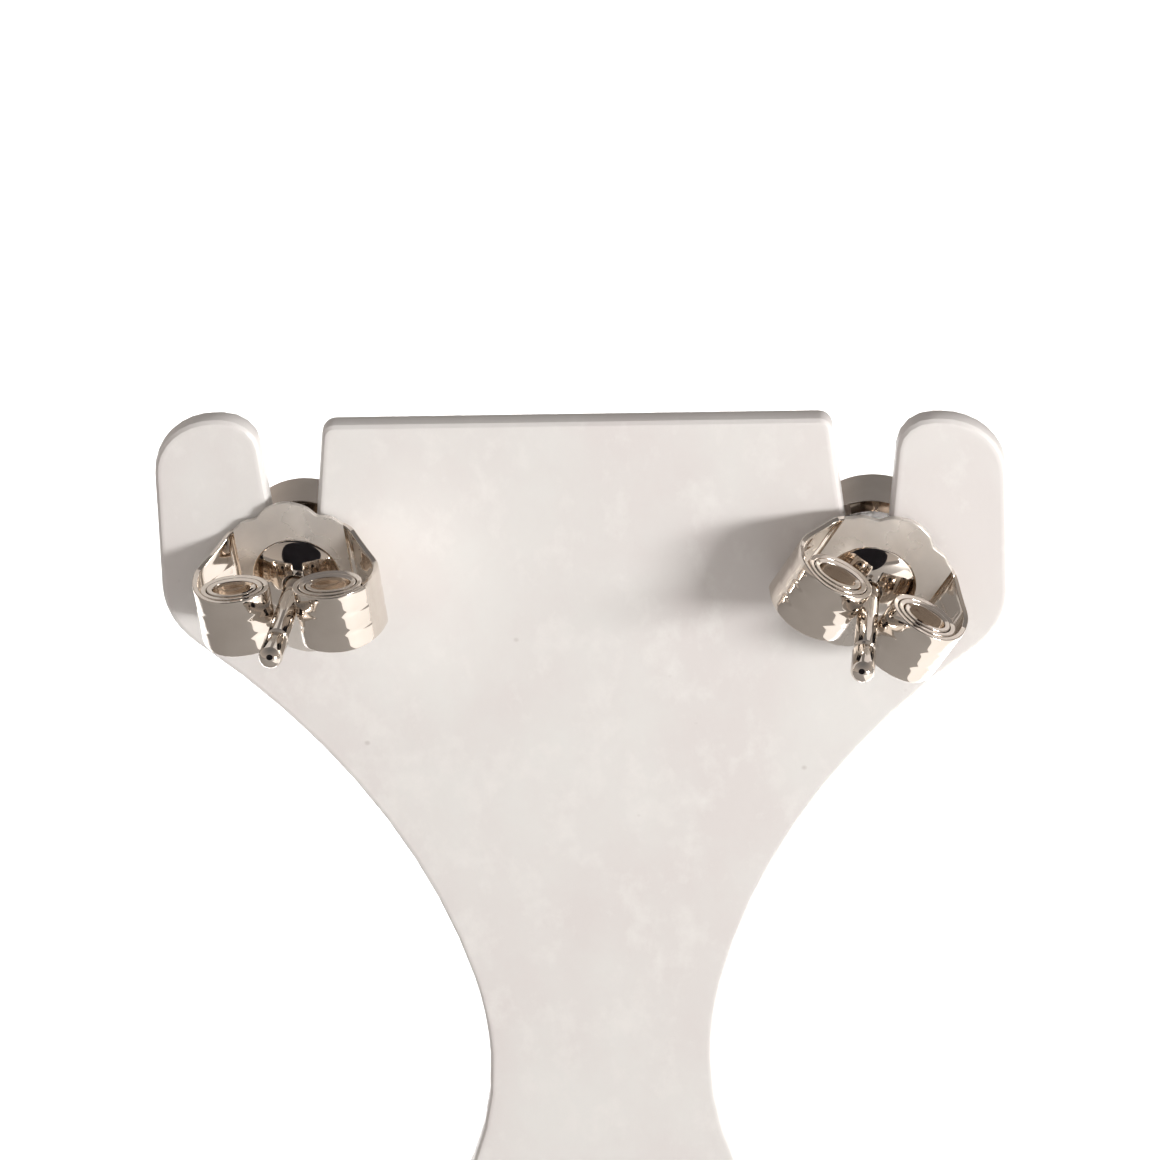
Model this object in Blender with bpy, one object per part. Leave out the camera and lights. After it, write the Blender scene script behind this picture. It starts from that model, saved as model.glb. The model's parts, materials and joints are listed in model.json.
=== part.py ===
"""A pair of diamond stud earrings with butterfly backs, hung on a small bent-sheet display stand.

Metres, +Z up. The diamonds face -Y, the butterfly backs face +Y, and the origin is the centre of
the foot's underside. Right and left are as seen from the front, where the diamonds show.
"""

import math

import bmesh
import bpy
from mathutils import Matrix, Vector

MM = 0.001

# Stand, a sheet with its top cut into a panel and two tabs, measured from the slots' ends
SHEET = 0.9 * MM
EDGE_ROUNDING = 0.3 * MM
SLOT_SPREAD = 10.55 * MM
SLOT_END_RADIUS = 0.6 * MM
PANEL_RISE = 6.3 * MM
PANEL_HALF_WIDTH = 9.15 * MM
PANEL_CORNER = 0.5 * MM
PANEL_TILT = math.radians(0.8)
TAB_RISE = 6.4 * MM
TAB_INNER_HALF_WIDTH = 11.55 * MM
TAB_OUTER_HALF_WIDTH = 15.35 * MM
TAB_INNER_CORNER = 1.3 * MM
TAB_OUTER_CORNER = 2.4 * MM
WING_HALF_WIDTH = 15.73 * MM
WING_CORNER = 3.26 * MM
SHOULDER_RADIUS = 30.3 * MM
NECK_HALF_WIDTH = 4.56 * MM
NECK_DROP = 23.6 * MM
NECK_RADIUS = 18.4 * MM
NECK_ARC_ANGLE = math.radians(12.6)
FLARE_RADIUS = 17.7 * MM
FOOT_HALF_WIDTH = 14.0 * MM
FOOT_FRONT_CORNER = 2.0 * MM
FOOT_REAR_CORNER = 4.0 * MM
FOOT_LENGTH = 21.0 * MM
BEND_INNER_RADIUS = 1.5 * MM
LEAN = math.radians(12.0)

# Stone, a round brilliant
STONE_RADIUS = 1.95 * MM
GIRDLE_HEIGHT = 0.08 * MM
TABLE_RADIUS = 1.1 * MM
CROWN_ANGLE = math.radians(34.5)
PAVILION_ANGLE = math.radians(40.8)
STAR_SHARE = 0.5
LOWER_FACET_SHARE = 0.77
STONE_CLEARANCE = 0.04 * MM

# Setting, a round collet open at its back, with a bar across it that carries the post
COLLET_BACK_RADIUS = 2.45 * MM
COLLET_RIM_RADIUS = 2.55 * MM
COLLET_DEPTH = 1.6 * MM
COLLET_WALL = 0.5 * MM
GIRDLE_DEPTH = 1.55 * MM
LIP_RISE = 0.2 * MM
LIP_COVER = 0.13 * MM
SEAT_COVER = 0.45 * MM
BAR_WIDTH = 0.55 * MM
BAR_HEIGHT = 0.26 * MM
BAR_INSET = 0.04 * MM
POST_RADIUS = 0.39 * MM
POST_LENGTH = 7.25 * MM
POST_HEAD_RADIUS = 0.52 * MM
POST_HEAD_BACK = 0.12 * MM
GROOVE_DEPTH = 0.1 * MM
GROOVE_WIDTH = 0.3 * MM
TIP_LENGTH = 1.4 * MM
TIP_RADIUS = 0.43 * MM

# Butterfly back, one strip with a domed plate in the middle and each end rolled up beside the post
STRIP = 0.2 * MM
STRIP_HALF_WIDTH = 1.15 * MM
PLATE_RADIUS = 3.22 * MM
DOME_RADIUS = 1.6 * MM
DOME_EDGE_ANGLE = math.radians(38.0)
LOOP_SPREAD = 3.45 * MM
LOOP_DEPTH = 3.6 * MM
WIDEST_SHARE = 0.47
ROLL_HALF_DEPTH = 1.05 * MM
ROLL_SHRINK = 0.33
ROLL_END = math.radians(650.0)
LEG_ANGLE = math.radians(50.0)
LEG_BEND_RADIUS = 0.45 * MM
LEG_CURVE = 1.0 * MM
BAND_CROWN = 0.03 * MM
BANDS = 3
GRIP_CLEARANCE = 0.06 * MM

# Plate outline: distance along the strip and half width there, as shares of PLATE_RADIUS.
# The half width runs on into the strip after the last row.
PLATE_OUTLINE = (
    {"along": 0.00, "half_width": 1.00},
    {"along": 0.11, "half_width": 0.98},
    {"along": 0.23, "half_width": 0.93},
    {"along": 0.285, "half_width": 0.885},
    {"along": 0.345, "half_width": 0.82},
    {"along": 0.40, "half_width": 0.80},
    {"along": 0.475, "half_width": 0.785},
    {"along": 0.535, "half_width": 0.765},
    {"along": 0.60, "half_width": 0.71},
    {"along": 0.675, "half_width": 0.66},
    {"along": 0.82, "half_width": 0.565},
    {"along": 1.13, "half_width": 0.42},
)
STRIP_START = 1.35

# Fit of the earrings on the stand; each post rests low in its slot
SEAT_CLEARANCE = 0.05 * MM
REST_CLEARANCE = 0.05 * MM

# How each earring sits: its side, how far aside its post lies as a share of the slot's play,
# how far the post swings and droops and its back's turn, in degrees, and how deep its back's
# loops stand as a share of LOOP_DEPTH
EARRINGS = (
    {
        "name": "right",
        "side": -1,
        "aside": 0.8,
        "swing": 3.0,
        "droop": -1.5,
        "turn": 5.0,
        "loops": 1.0,
    },
    {
        "name": "left",
        "side": 1,
        "aside": 0.8,
        "swing": 4.0,
        "droop": 4.5,
        "turn": -29.0,
        "loops": 0.89,
    },
)

# Facets of the meshed round forms
BEND_STEPS = 6
EDGE_STEPS = 3
SMALL_CORNER_STEPS = 4
LARGE_CORNER_STEPS = 8
SIDE_ARC_STEPS = 9
COLLET_SIDES = 32
POST_SIDES = 16
TIP_STEPS = 4
STONE_MAINS = 8
STRIP_CELLS = 2 * BANDS
ROLL_STEP = math.radians(18.0)
LEG_SHARES = (0.35, 0.7)
DOME_SHARES = (1.0, 0.72, 0.45, 0.2, 0.0)
SMOOTH_ANGLE = math.radians(35.0)
RIM_ANGLE = math.radians(60.0)
CUT_TOLERANCE = 0.0001 * MM


def clear_scene():
    for item in list(bpy.data.objects):
        bpy.data.objects.remove(item, do_unlink=True)


def material(name, color, roughness, metallic, ior=1.5, transmission=0.0):
    made = bpy.data.materials.new(name)
    made.use_nodes = True
    shader = made.node_tree.nodes["Principled BSDF"]
    shader.inputs["Base Color"].default_value = (*color, 1.0)
    shader.inputs["Roughness"].default_value = roughness
    shader.inputs["Metallic"].default_value = metallic
    shader.inputs["IOR"].default_value = ior
    shader.inputs["Transmission Weight"].default_value = transmission
    made.diffuse_color = (*color, 1.0)
    return made


def object_from(name, mesh, finish, frame=None):
    made = bpy.data.objects.new(name, mesh)
    bpy.context.collection.objects.link(made)
    mesh.materials.clear()
    if finish:
        mesh.materials.append(finish)
    made.parent = frame
    return made


def object_from_bmesh(name, form, finish, frame=None):
    bmesh.ops.recalc_face_normals(form, faces=form.faces)
    if form.calc_volume(signed=True) < 0.0:
        bmesh.ops.reverse_faces(form, faces=form.faces)
    mesh = bpy.data.meshes.new(name)
    form.to_mesh(mesh)
    form.free()
    mesh.shade_smooth()
    mesh.set_sharp_from_angle(angle=SMOOTH_ANGLE)
    return object_from(name, mesh, finish, frame)


def empty(name, matrix, frame=None):
    made = bpy.data.objects.new(name, None)
    bpy.context.collection.objects.link(made)
    made.parent = frame
    made.matrix_local = matrix
    return made


def turned(name, profile, sides, finish=None, frame=None):
    """A closed solid turned about Z from (radius, height) points; a radius of 0 closes an end."""
    form = bmesh.new()
    rings = []
    for radius, height in profile:
        if radius == 0.0:
            rings.append([form.verts.new((0.0, 0.0, height))])
            continue
        ring = []
        for side in range(sides):
            angle = 2 * math.pi * side / sides
            spot = (radius * math.cos(angle), radius * math.sin(angle), height)
            ring.append(form.verts.new(spot))
        rings.append(ring)
    closed = profile[0][0] > 0.0
    pairs = list(zip(rings, rings[1:]))
    if closed:
        pairs.append((rings[-1], rings[0]))
    for lower, upper in pairs:
        for side in range(sides):
            after = (side + 1) % sides
            if len(lower) == 1:
                form.faces.new((lower[0], upper[after], upper[side]))
            elif len(upper) == 1:
                form.faces.new((lower[side], lower[after], upper[0]))
            else:
                form.faces.new((lower[side], lower[after], upper[after], upper[side]))
    return object_from_bmesh(name, form, finish, frame)


def combine(target, tool, operation):
    """Applies a Boolean with the exact solver and removes the tool."""
    step = target.modifiers.new(operation, "BOOLEAN")
    step.operation = operation
    step.solver = "EXACT"
    step.object = tool
    bpy.context.view_layer.update()
    cut = target.evaluated_get(bpy.context.evaluated_depsgraph_get())
    result = bpy.data.meshes.new_from_object(cut)
    target.modifiers.clear()
    target.data = result
    bpy.data.objects.remove(tool, do_unlink=True)


def arc(centre, radius, start, stop, steps):
    points = []
    for step in range(steps + 1):
        angle = start + (stop - start) * step / steps
        points.append((centre[0] + radius * math.cos(angle), centre[1] + radius * math.sin(angle)))
    return points


def rounded_corner(before, corner, after, radius, steps):
    """The arc that rounds a corner between two straight runs."""
    here = Vector(corner)
    back = (Vector(before) - here).normalized()
    ahead = (Vector(after) - here).normalized()
    half = back.angle(ahead) / 2
    centre = here + (back + ahead).normalized() * radius / math.sin(half)
    first = here + back * radius / math.tan(half) - centre
    last = here + ahead * radius / math.tan(half) - centre
    start = math.atan2(first.y, first.x)
    sweep = math.atan2(first.x * last.y - first.y * last.x, first.dot(last))
    return arc(centre, radius, start, start + sweep, steps)


def corner_centre(hollow, hollow_radius, corner_radius, half_width, direction):
    """Centre of an outer corner that touches the hollow side arc and the line at half_width."""
    across = half_width - corner_radius
    rise = math.sqrt((hollow_radius + corner_radius) ** 2 - (hollow[0] - across) ** 2)
    return across, hollow[1] + direction * rise


def stand_outline():
    """One half of the flat sheet: the panel's corner, then the rest down to the foot's rear edge."""
    neck = -NECK_DROP
    neck_arc = (NECK_HALF_WIDTH + NECK_RADIUS, neck)
    grown = SHOULDER_RADIUS - NECK_RADIUS
    shoulder = (
        neck_arc[0] + grown * math.cos(NECK_ARC_ANGLE),
        neck_arc[1] - grown * math.sin(NECK_ARC_ANGLE),
    )
    wing = corner_centre(shoulder, SHOULDER_RADIUS, WING_CORNER, WING_HALF_WIDTH, 1)
    flare = (NECK_HALF_WIDTH + FLARE_RADIUS, neck)
    foot = corner_centre(flare, FLARE_RADIUS, FOOT_FRONT_CORNER, FOOT_HALF_WIDTH, -1)
    wing_angle = math.atan2(wing[1] - shoulder[1], wing[0] - shoulder[0])
    foot_angle = math.atan2(foot[1] - flare[1], foot[0] - flare[0])

    panel_corner = (PANEL_HALF_WIDTH, PANEL_RISE)
    slot_inner = (SLOT_SPREAD - SLOT_END_RADIUS, 0.0)
    slot_outer = (SLOT_SPREAD + SLOT_END_RADIUS, 0.0)
    tab_inner = (TAB_INNER_HALF_WIDTH, TAB_RISE)
    tab_outer = (TAB_OUTER_HALF_WIDTH, TAB_RISE)
    side_end = (WING_HALF_WIDTH, wing[1])

    bend_start = foot[1]
    bend_length = (BEND_INNER_RADIUS + SHEET / 2) * (math.pi / 2 + LEAN)
    rear = bend_start - bend_length - FOOT_LENGTH
    rear_corner = (FOOT_HALF_WIDTH - FOOT_REAR_CORNER, rear + FOOT_REAR_CORNER)

    small = SMALL_CORNER_STEPS
    large = LARGE_CORNER_STEPS
    side = SIDE_ARC_STEPS
    neck_turn = math.pi - NECK_ARC_ANGLE
    panel = rounded_corner((0.0, PANEL_RISE), panel_corner, slot_inner, PANEL_CORNER, small)
    points = arc((SLOT_SPREAD, 0.0), SLOT_END_RADIUS, math.pi, 2 * math.pi, large)
    points += rounded_corner(slot_outer, tab_inner, tab_outer, TAB_INNER_CORNER, small)
    points += rounded_corner(tab_inner, tab_outer, side_end, TAB_OUTER_CORNER, large)
    points += arc(wing, WING_CORNER, 0.0, wing_angle - math.pi, large)
    points += arc(shoulder, SHOULDER_RADIUS, wing_angle, neck_turn, side)[1:]
    points += arc(neck_arc, NECK_RADIUS, neck_turn, math.pi, small)[1:]
    points += arc(flare, FLARE_RADIUS, math.pi, 2 * math.pi + foot_angle, side)[1:]
    points += arc(foot, FOOT_FRONT_CORNER, math.pi + foot_angle, 0.0, small)[1:]
    points += arc(rear_corner, FOOT_REAR_CORNER, 0.0, -math.pi / 2, large)
    return panel, points, bend_start, bend_length


def bent(point, bend_start, bend_length):
    """Carries a point of the flat sheet, whose back face is at z = 0, round the bend of the foot."""
    along = bend_start - point.y
    if along <= 0.0:
        return point.copy()
    turn = min(along / bend_length, 1.0) * (math.pi / 2 + LEAN)
    reach = point.z - BEND_INNER_RADIUS
    y = bend_start + reach * math.sin(turn)
    z = BEND_INNER_RADIUS + reach * math.cos(turn)
    spare = max(along - bend_length, 0.0)
    return Vector((point.x, y - spare * math.cos(turn), z + spare * math.sin(turn)))


def make_stand(finish, frame):
    panel, rest, bend_start, bend_length = stand_outline()
    climb = math.tan(PANEL_TILT)
    form = bmesh.new()
    ring = [form.verts.new((x, y + x * climb, 0.0)) for x, y in panel]
    ring += [form.verts.new((x, y, 0.0)) for x, y in rest]
    ring += [form.verts.new((-x, y, 0.0)) for x, y in reversed(rest)]
    ring += [form.verts.new((-x, y - x * climb, 0.0)) for x, y in reversed(panel)]
    form.faces.new(ring)
    for step in range(BEND_STEPS + 1):
        line = (0.0, bend_start - bend_length * step / BEND_STEPS, 0.0)
        everything = form.verts[:] + form.edges[:] + form.faces[:]
        bmesh.ops.bisect_plane(
            form, geom=everything, dist=CUT_TOLERANCE, plane_co=line, plane_no=(0, 1, 0)
        )
    sheet = bmesh.ops.extrude_face_region(form, geom=form.faces[:])
    moved = [item for item in sheet["geom"] if isinstance(item, bmesh.types.BMVert)]
    bmesh.ops.translate(form, verts=moved, vec=(0.0, 0.0, -SHEET))
    bmesh.ops.recalc_face_normals(form, faces=form.faces)
    rims = [edge for edge in form.edges if edge.calc_face_angle(0.0) > RIM_ANGLE]
    bmesh.ops.bevel(
        form,
        geom=rims,
        offset=EDGE_ROUNDING,
        segments=EDGE_STEPS,
        profile=0.5,
        affect="EDGES",
        clamp_overlap=True,
    )
    for vert in form.verts:
        vert.co = bent(vert.co, bend_start, bend_length)
    return object_from_bmesh("display_stand", form, finish, frame)


def stone_levels():
    """Heights of the stone's girdle, table and culet, measured forward from the collet's back."""
    girdle_back = GIRDLE_DEPTH
    girdle_front = girdle_back + GIRDLE_HEIGHT
    table = girdle_front + (STONE_RADIUS - TABLE_RADIUS) * math.tan(CROWN_ANGLE)
    culet = girdle_back - STONE_RADIUS * math.tan(PAVILION_ANGLE)
    return girdle_back, girdle_front, table, culet


def make_stone(name, finish, frame, back):
    """A round brilliant with its table towards -Z and the collet's back plane at z = back."""
    girdle_back, girdle_front, table, culet = stone_levels()
    half_step = math.pi / STONE_MAINS
    form = bmesh.new()

    def ring(radius, level, count, offset):
        made = []
        for step in range(count):
            angle = 2 * math.pi * step / count + offset
            spot = (radius * math.cos(angle), radius * math.sin(angle), back - level)
            made.append(form.verts.new(spot))
        return made

    star_radius = TABLE_RADIUS + STAR_SHARE * (STONE_RADIUS - TABLE_RADIUS)
    star_level = table - (star_radius * math.cos(half_step) - TABLE_RADIUS) * math.tan(CROWN_ANGLE)
    lower_radius = (1 - LOWER_FACET_SHARE) * STONE_RADIUS
    lower_level = culet + lower_radius * math.cos(half_step) * math.tan(PAVILION_ANGLE)
    top = ring(TABLE_RADIUS, table, STONE_MAINS, 0.0)
    star = ring(star_radius, star_level, STONE_MAINS, half_step)
    upper = ring(STONE_RADIUS, girdle_front, 2 * STONE_MAINS, 0.0)
    lower = ring(STONE_RADIUS, girdle_back, 2 * STONE_MAINS, 0.0)
    deep = ring(lower_radius, lower_level, STONE_MAINS, half_step)
    point = form.verts.new((0.0, 0.0, back - culet))
    form.faces.new(top)
    for k in range(STONE_MAINS):
        after = (k + 1) % STONE_MAINS
        main, between, following = 2 * k, 2 * k + 1, (2 * k + 2) % (2 * STONE_MAINS)
        form.faces.new((top[k], top[after], star[k]))
        form.faces.new((top[k], star[k], upper[main], star[k - 1]))
        form.faces.new((star[k], upper[between], upper[main]))
        form.faces.new((star[k], upper[following], upper[between]))
        form.faces.new((upper[main], upper[between], lower[between], lower[main]))
        form.faces.new((upper[between], upper[following], lower[following], lower[between]))
        form.faces.new((deep[k], lower[main], lower[between]))
        form.faces.new((deep[k], lower[between], lower[following]))
        form.faces.new((point, deep[k - 1], lower[main], deep[k]))
    made = object_from_bmesh(name, form, finish, frame)
    made.data.shade_flat()
    return made


def stone_pocket(back):
    """The room that the stone takes in its setting: its own turned outline and the clearance."""
    girdle_back, girdle_front, table, culet = stone_levels()
    wide = STONE_RADIUS + STONE_CLEARANCE
    below = STONE_CLEARANCE / math.cos(PAVILION_ANGLE)
    above = STONE_CLEARANCE / math.cos(CROWN_ANGLE)
    lead = wide - STONE_RADIUS
    deep_end = culet - below
    front = table + above
    return turned(
        "pocket",
        (
            (0.0, back - deep_end),
            (wide, back - girdle_back + below - lead * math.tan(PAVILION_ANGLE)),
            (wide, back - girdle_front - above + lead * math.tan(CROWN_ANGLE)),
            (TABLE_RADIUS, back - front),
            (0.0, back - front),
        ),
        COLLET_SIDES,
    )


def make_setting(name, finish, frame, back):
    """Collet, bar and post as one soldered piece; the post runs along +Z from z = back."""
    girdle_back = GIRDLE_DEPTH
    lip_top = COLLET_DEPTH + LIP_RISE
    lip_middle = (COLLET_RIM_RADIUS + STONE_RADIUS) / 2
    lip_inner = STONE_RADIUS - LIP_COVER
    inner = COLLET_BACK_RADIUS - COLLET_WALL
    ledge = STONE_RADIUS - SEAT_COVER
    seat = girdle_back - SEAT_COVER * math.tan(PAVILION_ANGLE)
    collet = turned(
        name,
        (
            (inner, back),
            (COLLET_BACK_RADIUS, back),
            (COLLET_RIM_RADIUS, back - COLLET_DEPTH),
            (lip_middle, back - lip_top),
            (lip_inner, back - lip_top),
            (lip_inner, back - girdle_back),
            (ledge, back - girdle_back),
            (ledge, back - seat + STONE_CLEARANCE),
            (inner, back - seat + COLLET_WALL),
        ),
        COLLET_SIDES,
        finish,
        frame,
    )
    bar_form = bmesh.new()
    bmesh.ops.create_cube(bar_form, size=1.0)
    bar_length = inner + COLLET_BACK_RADIUS
    bar_middle = back - BAR_INSET - BAR_HEIGHT / 2
    bmesh.ops.scale(bar_form, vec=(bar_length, BAR_WIDTH, BAR_HEIGHT), verts=bar_form.verts)
    bmesh.ops.translate(bar_form, vec=(0.0, 0.0, bar_middle), verts=bar_form.verts)
    bar = object_from_bmesh("bar", bar_form, None, frame)

    end = back + POST_LENGTH
    groove = end - TIP_LENGTH
    slim = POST_RADIUS - GROOVE_DEPTH
    head_front = back - BAR_HEIGHT - 2 * BAR_INSET
    head_back = back + POST_HEAD_BACK
    profile = [
        (0.0, head_front),
        (POST_HEAD_RADIUS, head_front),
        (POST_HEAD_RADIUS, head_back),
        (POST_RADIUS, head_back + POST_HEAD_RADIUS - POST_RADIUS),
        (POST_RADIUS, groove - GROOVE_WIDTH),
        (slim, groove - GROOVE_WIDTH / 2),
        (TIP_RADIUS, groove),
    ]
    tip = arc((0.0, end - TIP_RADIUS), TIP_RADIUS, 0.0, math.pi / 2, TIP_STEPS)
    profile += tip[:-1]
    profile.append((0.0, end))
    post = turned("post", profile, POST_SIDES, None, frame)
    combine(collet, bar, "UNION")
    combine(collet, post, "UNION")
    pocket = stone_pocket(back)
    pocket.parent = frame
    combine(collet, pocket, "DIFFERENCE")
    collet.data.materials.clear()
    collet.data.materials.append(finish)
    collet.data.shade_smooth()
    collet.data.set_sharp_from_angle(angle=SMOOTH_ANGLE)
    return collet


def plate_half_width(along):
    """Half width of the flat blank at a distance along the strip from the post."""
    rows = []
    for row in PLATE_OUTLINE:
        rows.append((row["along"] * PLATE_RADIUS, row["half_width"] * PLATE_RADIUS))
    rows.append((STRIP_START * PLATE_RADIUS, STRIP_HALF_WIDTH))
    for (near, wide), (far, narrow) in zip(rows, rows[1:]):
        if along <= far:
            return wide + (narrow - wide) * (along - near) / (far - near)
    return STRIP_HALF_WIDTH


def loop_path(loop_depth):
    """Middle line of the strip beyond the flat plate: (across, height, distance along) points."""
    middle = STRIP / 2
    near = POST_RADIUS + GRIP_CLEARANCE + middle
    far = LOOP_SPREAD - middle
    half_across = (far - near) / (2 - ROLL_SHRINK / 2)
    centre = far - half_across
    crest = loop_depth - middle
    widest = WIDEST_SHARE * loop_depth
    crest_share = 1 - ROLL_SHRINK / 4

    def roll(angle):
        share = 1 - ROLL_SHRINK * angle / (2 * math.pi)
        across = centre + half_across * share * math.cos(angle)
        if angle < 0.0:
            return across, widest + LEG_CURVE * share * math.sin(angle)
        if angle < math.pi / 2:
            return across, widest + (crest - widest) * share / crest_share * math.sin(angle)
        return across, crest + ROLL_HALF_DEPTH * (share * math.sin(angle) - crest_share)

    start = -math.atan(LEG_CURVE / half_across / math.tan(LEG_ANGLE))
    top = roll(start)
    bend_rise = middle + LEG_BEND_RADIUS * (1 - math.cos(LEG_ANGLE))
    bend_end = top[0] - (top[1] - bend_rise) / math.tan(LEG_ANGLE)
    flat_end = bend_end - LEG_BEND_RADIUS * math.sin(LEG_ANGLE)
    bend_centre = (flat_end, middle + LEG_BEND_RADIUS)
    down = -math.pi / 2
    points = arc(bend_centre, LEG_BEND_RADIUS, down, down + LEG_ANGLE, SMALL_CORNER_STEPS)
    for share in LEG_SHARES:
        across = bend_end + (top[0] - bend_end) * share
        points.append((across, bend_rise + (top[1] - bend_rise) * share))
    turns = math.ceil((ROLL_END - start) / ROLL_STEP)
    for step in range(turns + 1):
        points.append(roll(start + (ROLL_END - start) * step / turns))
    path = []
    along = flat_end
    before = points[0]
    for point in points:
        along += math.dist(before, point)
        path.append((point[0], point[1], along))
        before = point
    return path


def dome(radius):
    """Height of the plate's dome, part of a ball that meets the flat plate at DOME_RADIUS."""
    ball = DOME_RADIUS / math.sin(DOME_EDGE_ANGLE)
    sunk = ball * math.cos(DOME_EDGE_ANGLE)
    return math.sqrt(ball**2 - min(radius, DOME_RADIUS) ** 2) - sunk


def make_butterfly(name, finish, frame, loop_depth):
    """The whole back from one strip, its underside at z = 0 and the post's axis along Z."""
    form = bmesh.new()
    path = loop_path(loop_depth)
    flat_end = path[0][2]
    columns = {}
    for side in (1, -1):
        for index, (across, height, along) in enumerate(path):
            ahead = path[min(index + 1, len(path) - 1)]
            behind = path[max(index - 1, 0)]
            run = Vector((ahead[0] - behind[0], ahead[1] - behind[1])).normalized()
            raised = min((along - flat_end) / LEG_BEND_RADIUS, 1.0) * BAND_CROWN
            column = []
            for cell in range(STRIP_CELLS + 1):
                share = 2 * cell / STRIP_CELLS - 1
                crown = raised * (cell % 2)
                x = across + run.y * crown
                z = height - run.x * crown
                column.append(form.verts.new((side * x, share * plate_half_width(along), z)))
            columns[side, index] = column
        for index in range(len(path) - 1):
            for cell in range(STRIP_CELLS):
                corners = (
                    columns[side, index][cell],
                    columns[side, index + 1][cell],
                    columns[side, index + 1][cell + 1],
                    columns[side, index][cell + 1],
                )
                form.faces.new(corners)

    rows = [row["along"] * PLATE_RADIUS for row in PLATE_OUTLINE]
    rows = [along for along in rows if along < flat_end]
    across_plate = [*reversed(rows), *(-row for row in rows[1:])]
    middle = STRIP / 2
    edge = list(columns[1, 0])
    for x in across_plate:
        edge.append(form.verts.new((x, plate_half_width(abs(x)), middle)))
    edge += list(reversed(columns[-1, 0]))
    for x in reversed(across_plate):
        edge.append(form.verts.new((x, -plate_half_width(abs(x)), middle)))
    hole = POST_RADIUS + GRIP_CLEARANCE
    rings = [edge]
    for share in DOME_SHARES:
        radius = hole + (DOME_RADIUS - hole) * share
        ring = []
        for vert in edge:
            angle = math.atan2(vert.co.y, vert.co.x)
            spot = (radius * math.cos(angle), radius * math.sin(angle), middle + dome(radius))
            ring.append(form.verts.new(spot))
        rings.append(ring)
    for outer, inner in zip(rings, rings[1:]):
        for index in range(len(outer)):
            after = (index + 1) % len(outer)
            form.faces.new((outer[index], outer[after], inner[after], inner[index]))
    made = object_from_bmesh(name, form, finish, frame)
    wall = made.modifiers.new("strip_thickness", "SOLIDIFY")
    wall.thickness = STRIP
    wall.offset = 0.0
    return made


def main():
    clear_scene()
    white = material("stand_white", (0.82, 0.79, 0.76), 0.42, 0.0)
    gold = material("white_gold", (0.80, 0.77, 0.72), 0.12, 1.0)
    stone = material("diamond", (1.0, 1.0, 1.0), 0.0, 0.0, 2.42, 1.0)

    # The sheet's own frame: +Y up the sheet, +Z out of its back, the origin between the slots
    up = Vector((0.0, math.sin(LEAN), math.cos(LEAN)))
    out = Vector((0.0, math.cos(LEAN), -math.sin(LEAN)))
    axes = Matrix((Vector((-1.0, 0.0, 0.0)), up, out)).transposed()
    bend_start = stand_outline()[2]
    foot_reach = BEND_INNER_RADIUS + SHEET
    bend_centre = up * bend_start + out * BEND_INNER_RADIUS
    front = bend_centre.y - foot_reach
    rear = bend_centre.y + FOOT_LENGTH
    lowest = bend_centre.z - foot_reach
    place = Vector((0.0, -(front + rear) / 2, -lowest))
    sheet_frame = empty("sheet_frame", Matrix.Translation(place) @ axes.to_4x4())
    make_stand(white, sheet_frame)

    for earring in EARRINGS:
        swing = math.radians(earring["swing"])
        droop = math.radians(earring["droop"])
        tilt = math.acos(math.cos(swing) * math.cos(droop))
        play = SLOT_END_RADIUS - POST_RADIUS - REST_CLEARANCE
        aside = play * earring["aside"]
        drop = math.sqrt(play**2 - aside**2)
        middle = Vector((earring["side"] * SLOT_SPREAD + aside, -drop, -SHEET / 2))
        pose = Matrix.Rotation(-swing, 4, "Y") @ Matrix.Rotation(droop, 4, "X")
        axis = empty(earring["name"] + "_post_axis", Matrix.Translation(middle) @ pose, sheet_frame)
        half_sheet = SHEET / 2 / math.cos(tilt)
        back = -(half_sheet + COLLET_BACK_RADIUS * math.tan(tilt) + SEAT_CLEARANCE)
        rest = half_sheet + PLATE_RADIUS * math.tan(tilt) + SEAT_CLEARANCE
        make_setting(earring["name"] + "_setting", gold, axis, back)
        make_stone(earring["name"] + "_diamond", stone, axis, back)
        loop_depth = LOOP_DEPTH * earring["loops"]
        nut = make_butterfly(earring["name"] + "_butterfly_back", gold, axis, loop_depth)
        turn = Matrix.Rotation(math.radians(earring["turn"]), 4, "Z")
        nut.matrix_local = Matrix.Translation((0.0, 0.0, rest)) @ turn


main()
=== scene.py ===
"""Looks of a pair of diamond stud earrings with butterfly backs on a bent-sheet display stand.

Metres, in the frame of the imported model: +Z up, the diamonds face -Y and the butterfly backs face
+Y. Right and left are as seen from the front, so the right earring is on the left of the picture.
"""

import json
import math

import bmesh
import bpy
from mathutils import Matrix, Vector

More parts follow.
